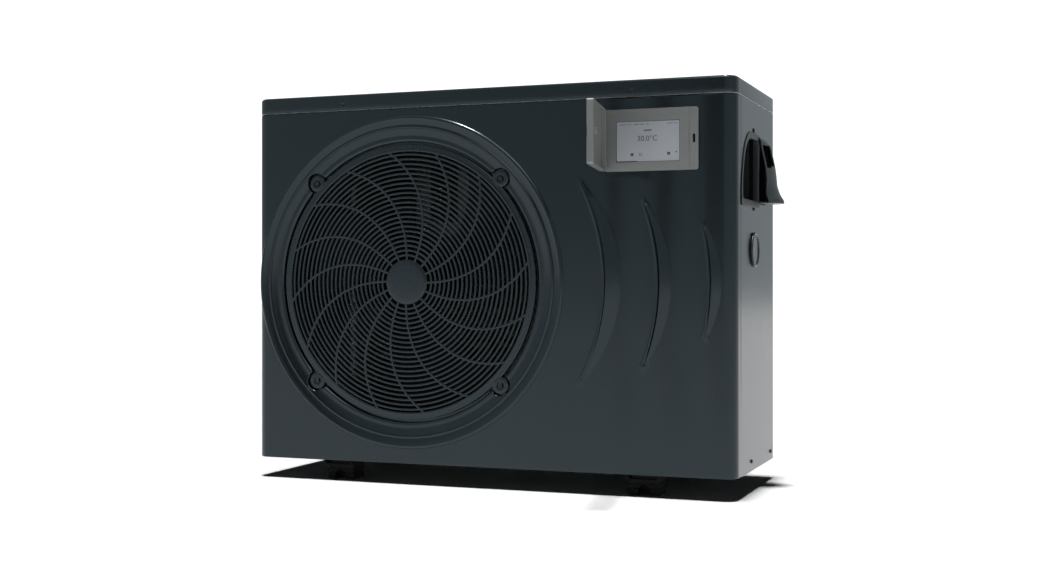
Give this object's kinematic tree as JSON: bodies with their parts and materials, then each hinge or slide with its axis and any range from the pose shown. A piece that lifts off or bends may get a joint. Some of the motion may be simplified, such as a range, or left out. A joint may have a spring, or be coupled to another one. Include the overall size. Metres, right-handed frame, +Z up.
{
  "type": "pool heat pump unit",
  "caption": "Outdoor pool heat pump: painted sheet cabinet with a round fan grille, flip-cover touch controller, side handle, pressure gauge and rear water unions.",
  "frame": {"origin": "centre of the four foot bolts, on the floor plane", "axes": "+X right seen from the front, +Y to the back (the front faces -Y), +Z up"},
  "size_m": [1.046, 0.6312, 0.778],
  "materials": {
    "cabinet_paint": "satin dark grey powder coat",
    "grille_plastic": "fine-grained moulded plastic",
    "galvanised": "galvanised sheet",
    "black_plastic": "moulded black plastic",
    "grey_plastic": "moulded mid grey plastic",
    "display": "pale lit display under a clear window",
    "fin_aluminium": "coated fin stock and black anodised heatsink",
    "copper": "drawn copper",
    "valve_brass": "machined brass",
    "black_paint": "black enamel",
    "shell_plastic": "grey PVC",
    "titanium": "titanium tube",
    "steel": "machined steel",
    "screw_steel": "blackened steel",
    "rubber": "matt black rubber",
    "circuit_board": "solder mask green",
    "terminal_plastic": "off-white plastic",
    "iron_core": "varnished laminations",
    "gauge_metal": "satin bezel",
    "gauge_face": "printed dial",
    "gauge_glass": "clear window",
    "needle_paint": "signal red paint"
  },
  "bodies": {
    "root": {"accumulator": "black_paint", "base_pan": "galvanised", "base_rails": "galvanised", "bulkhead": "galvanised", "cable_glands": "black_plastic", "coil_end_plates": "galvanised", "compressor": "black_paint", "compressor_grommets": "rubber", "compressor_studs": "steel", "condenser_coil": "titanium", "condenser_shell": "shell_plastic", "condenser_straps": "galvanised", "controller_board": "circuit_board", "controller_housing": "grey_plastic", "controller_screen": "display", "corner_posts": "galvanised", "cover_hinge_pin": "steel", "drain_nozzle": "black_plastic", "electrical_box": "galvanised", "electrical_box_lid": "galvanised", "evaporator_fins": "fin_aluminium", "evaporator_tubes": "copper", "expansion_valve": "valve_brass", "fan_grille": "grille_plastic", "fan_motor": "black_paint", "fan_shroud": "black_plastic", "filter_drier": "copper", "flow_switch": "black_plastic", "four_way_valve": "valve_brass", "front_panel": "cabinet_paint", "gauge_case": "gauge_metal", "gauge_dial": "gauge_face", "gauge_lens": "gauge_glass", "handle_insert": "black_plastic", "heatsink": "fin_aluminium", "inverter_board": "circuit_board", "left_side_panel": "cabinet_paint", "machine_screws": "screw_steel", "motor_bearings": "steel", "motor_bracket": "galvanised", "panel_screws": "screw_steel", "reactor": "iron_core", "rear_guard": "cabinet_paint", "rear_service_panel": "cabinet_paint", "refrigerant_pipes": "copper", "right_side_panel": "cabinet_paint", "rubber_feet": "rubber", "terminal_block": "terminal_plastic", "terminal_cap": "black_plastic", "top_cover": "cabinet_paint", "union_seals": "rubber", "union_tails": "black_plastic", "water_pipes": "shell_plastic"},
    "fan": {"fan_impeller": "black_plastic", "fan_nut": "steel", "motor_shaft": "steel"},
    "cover": {"controller_cover": "grey_plastic"},
    "inlet_nut": {"inlet_union_nut": "black_plastic"},
    "outlet_nut": {"outlet_union_nut": "black_plastic"},
    "needle": {"gauge_pointer": "needle_paint"}
  },
  "joints": [
    {"name": "fan_spin", "type": "hinge", "parent": "root", "child": "fan", "pos_m": [-0.1615, -0.062, 0.4], "axis": [0, 1, 0], "continuous": true},
    {"name": "cover_hinge", "type": "hinge", "parent": "root", "child": "cover", "pos_m": [0.252, -0.1925, 0.6635], "axis": [0, 0, 1], "range_deg": [-60, 80]},
    {"name": "inlet_nut_turn", "type": "hinge", "parent": "root", "child": "inlet_nut", "pos_m": [0.385, 0.21, 0.14], "axis": [0, 1, 0], "continuous": true},
    {"name": "outlet_nut_turn", "type": "hinge", "parent": "root", "child": "outlet_nut", "pos_m": [0.385, 0.21, 0.42], "axis": [0, 1, 0], "continuous": true},
    {"name": "gauge_needle", "type": "hinge", "parent": "root", "child": "needle", "pos_m": [0.497, -0.022, 0.462], "axis": [1, 0, 0], "range_deg": [-160, 100], "stiffness_Nm_per_rad": 0.001}
  ]
}
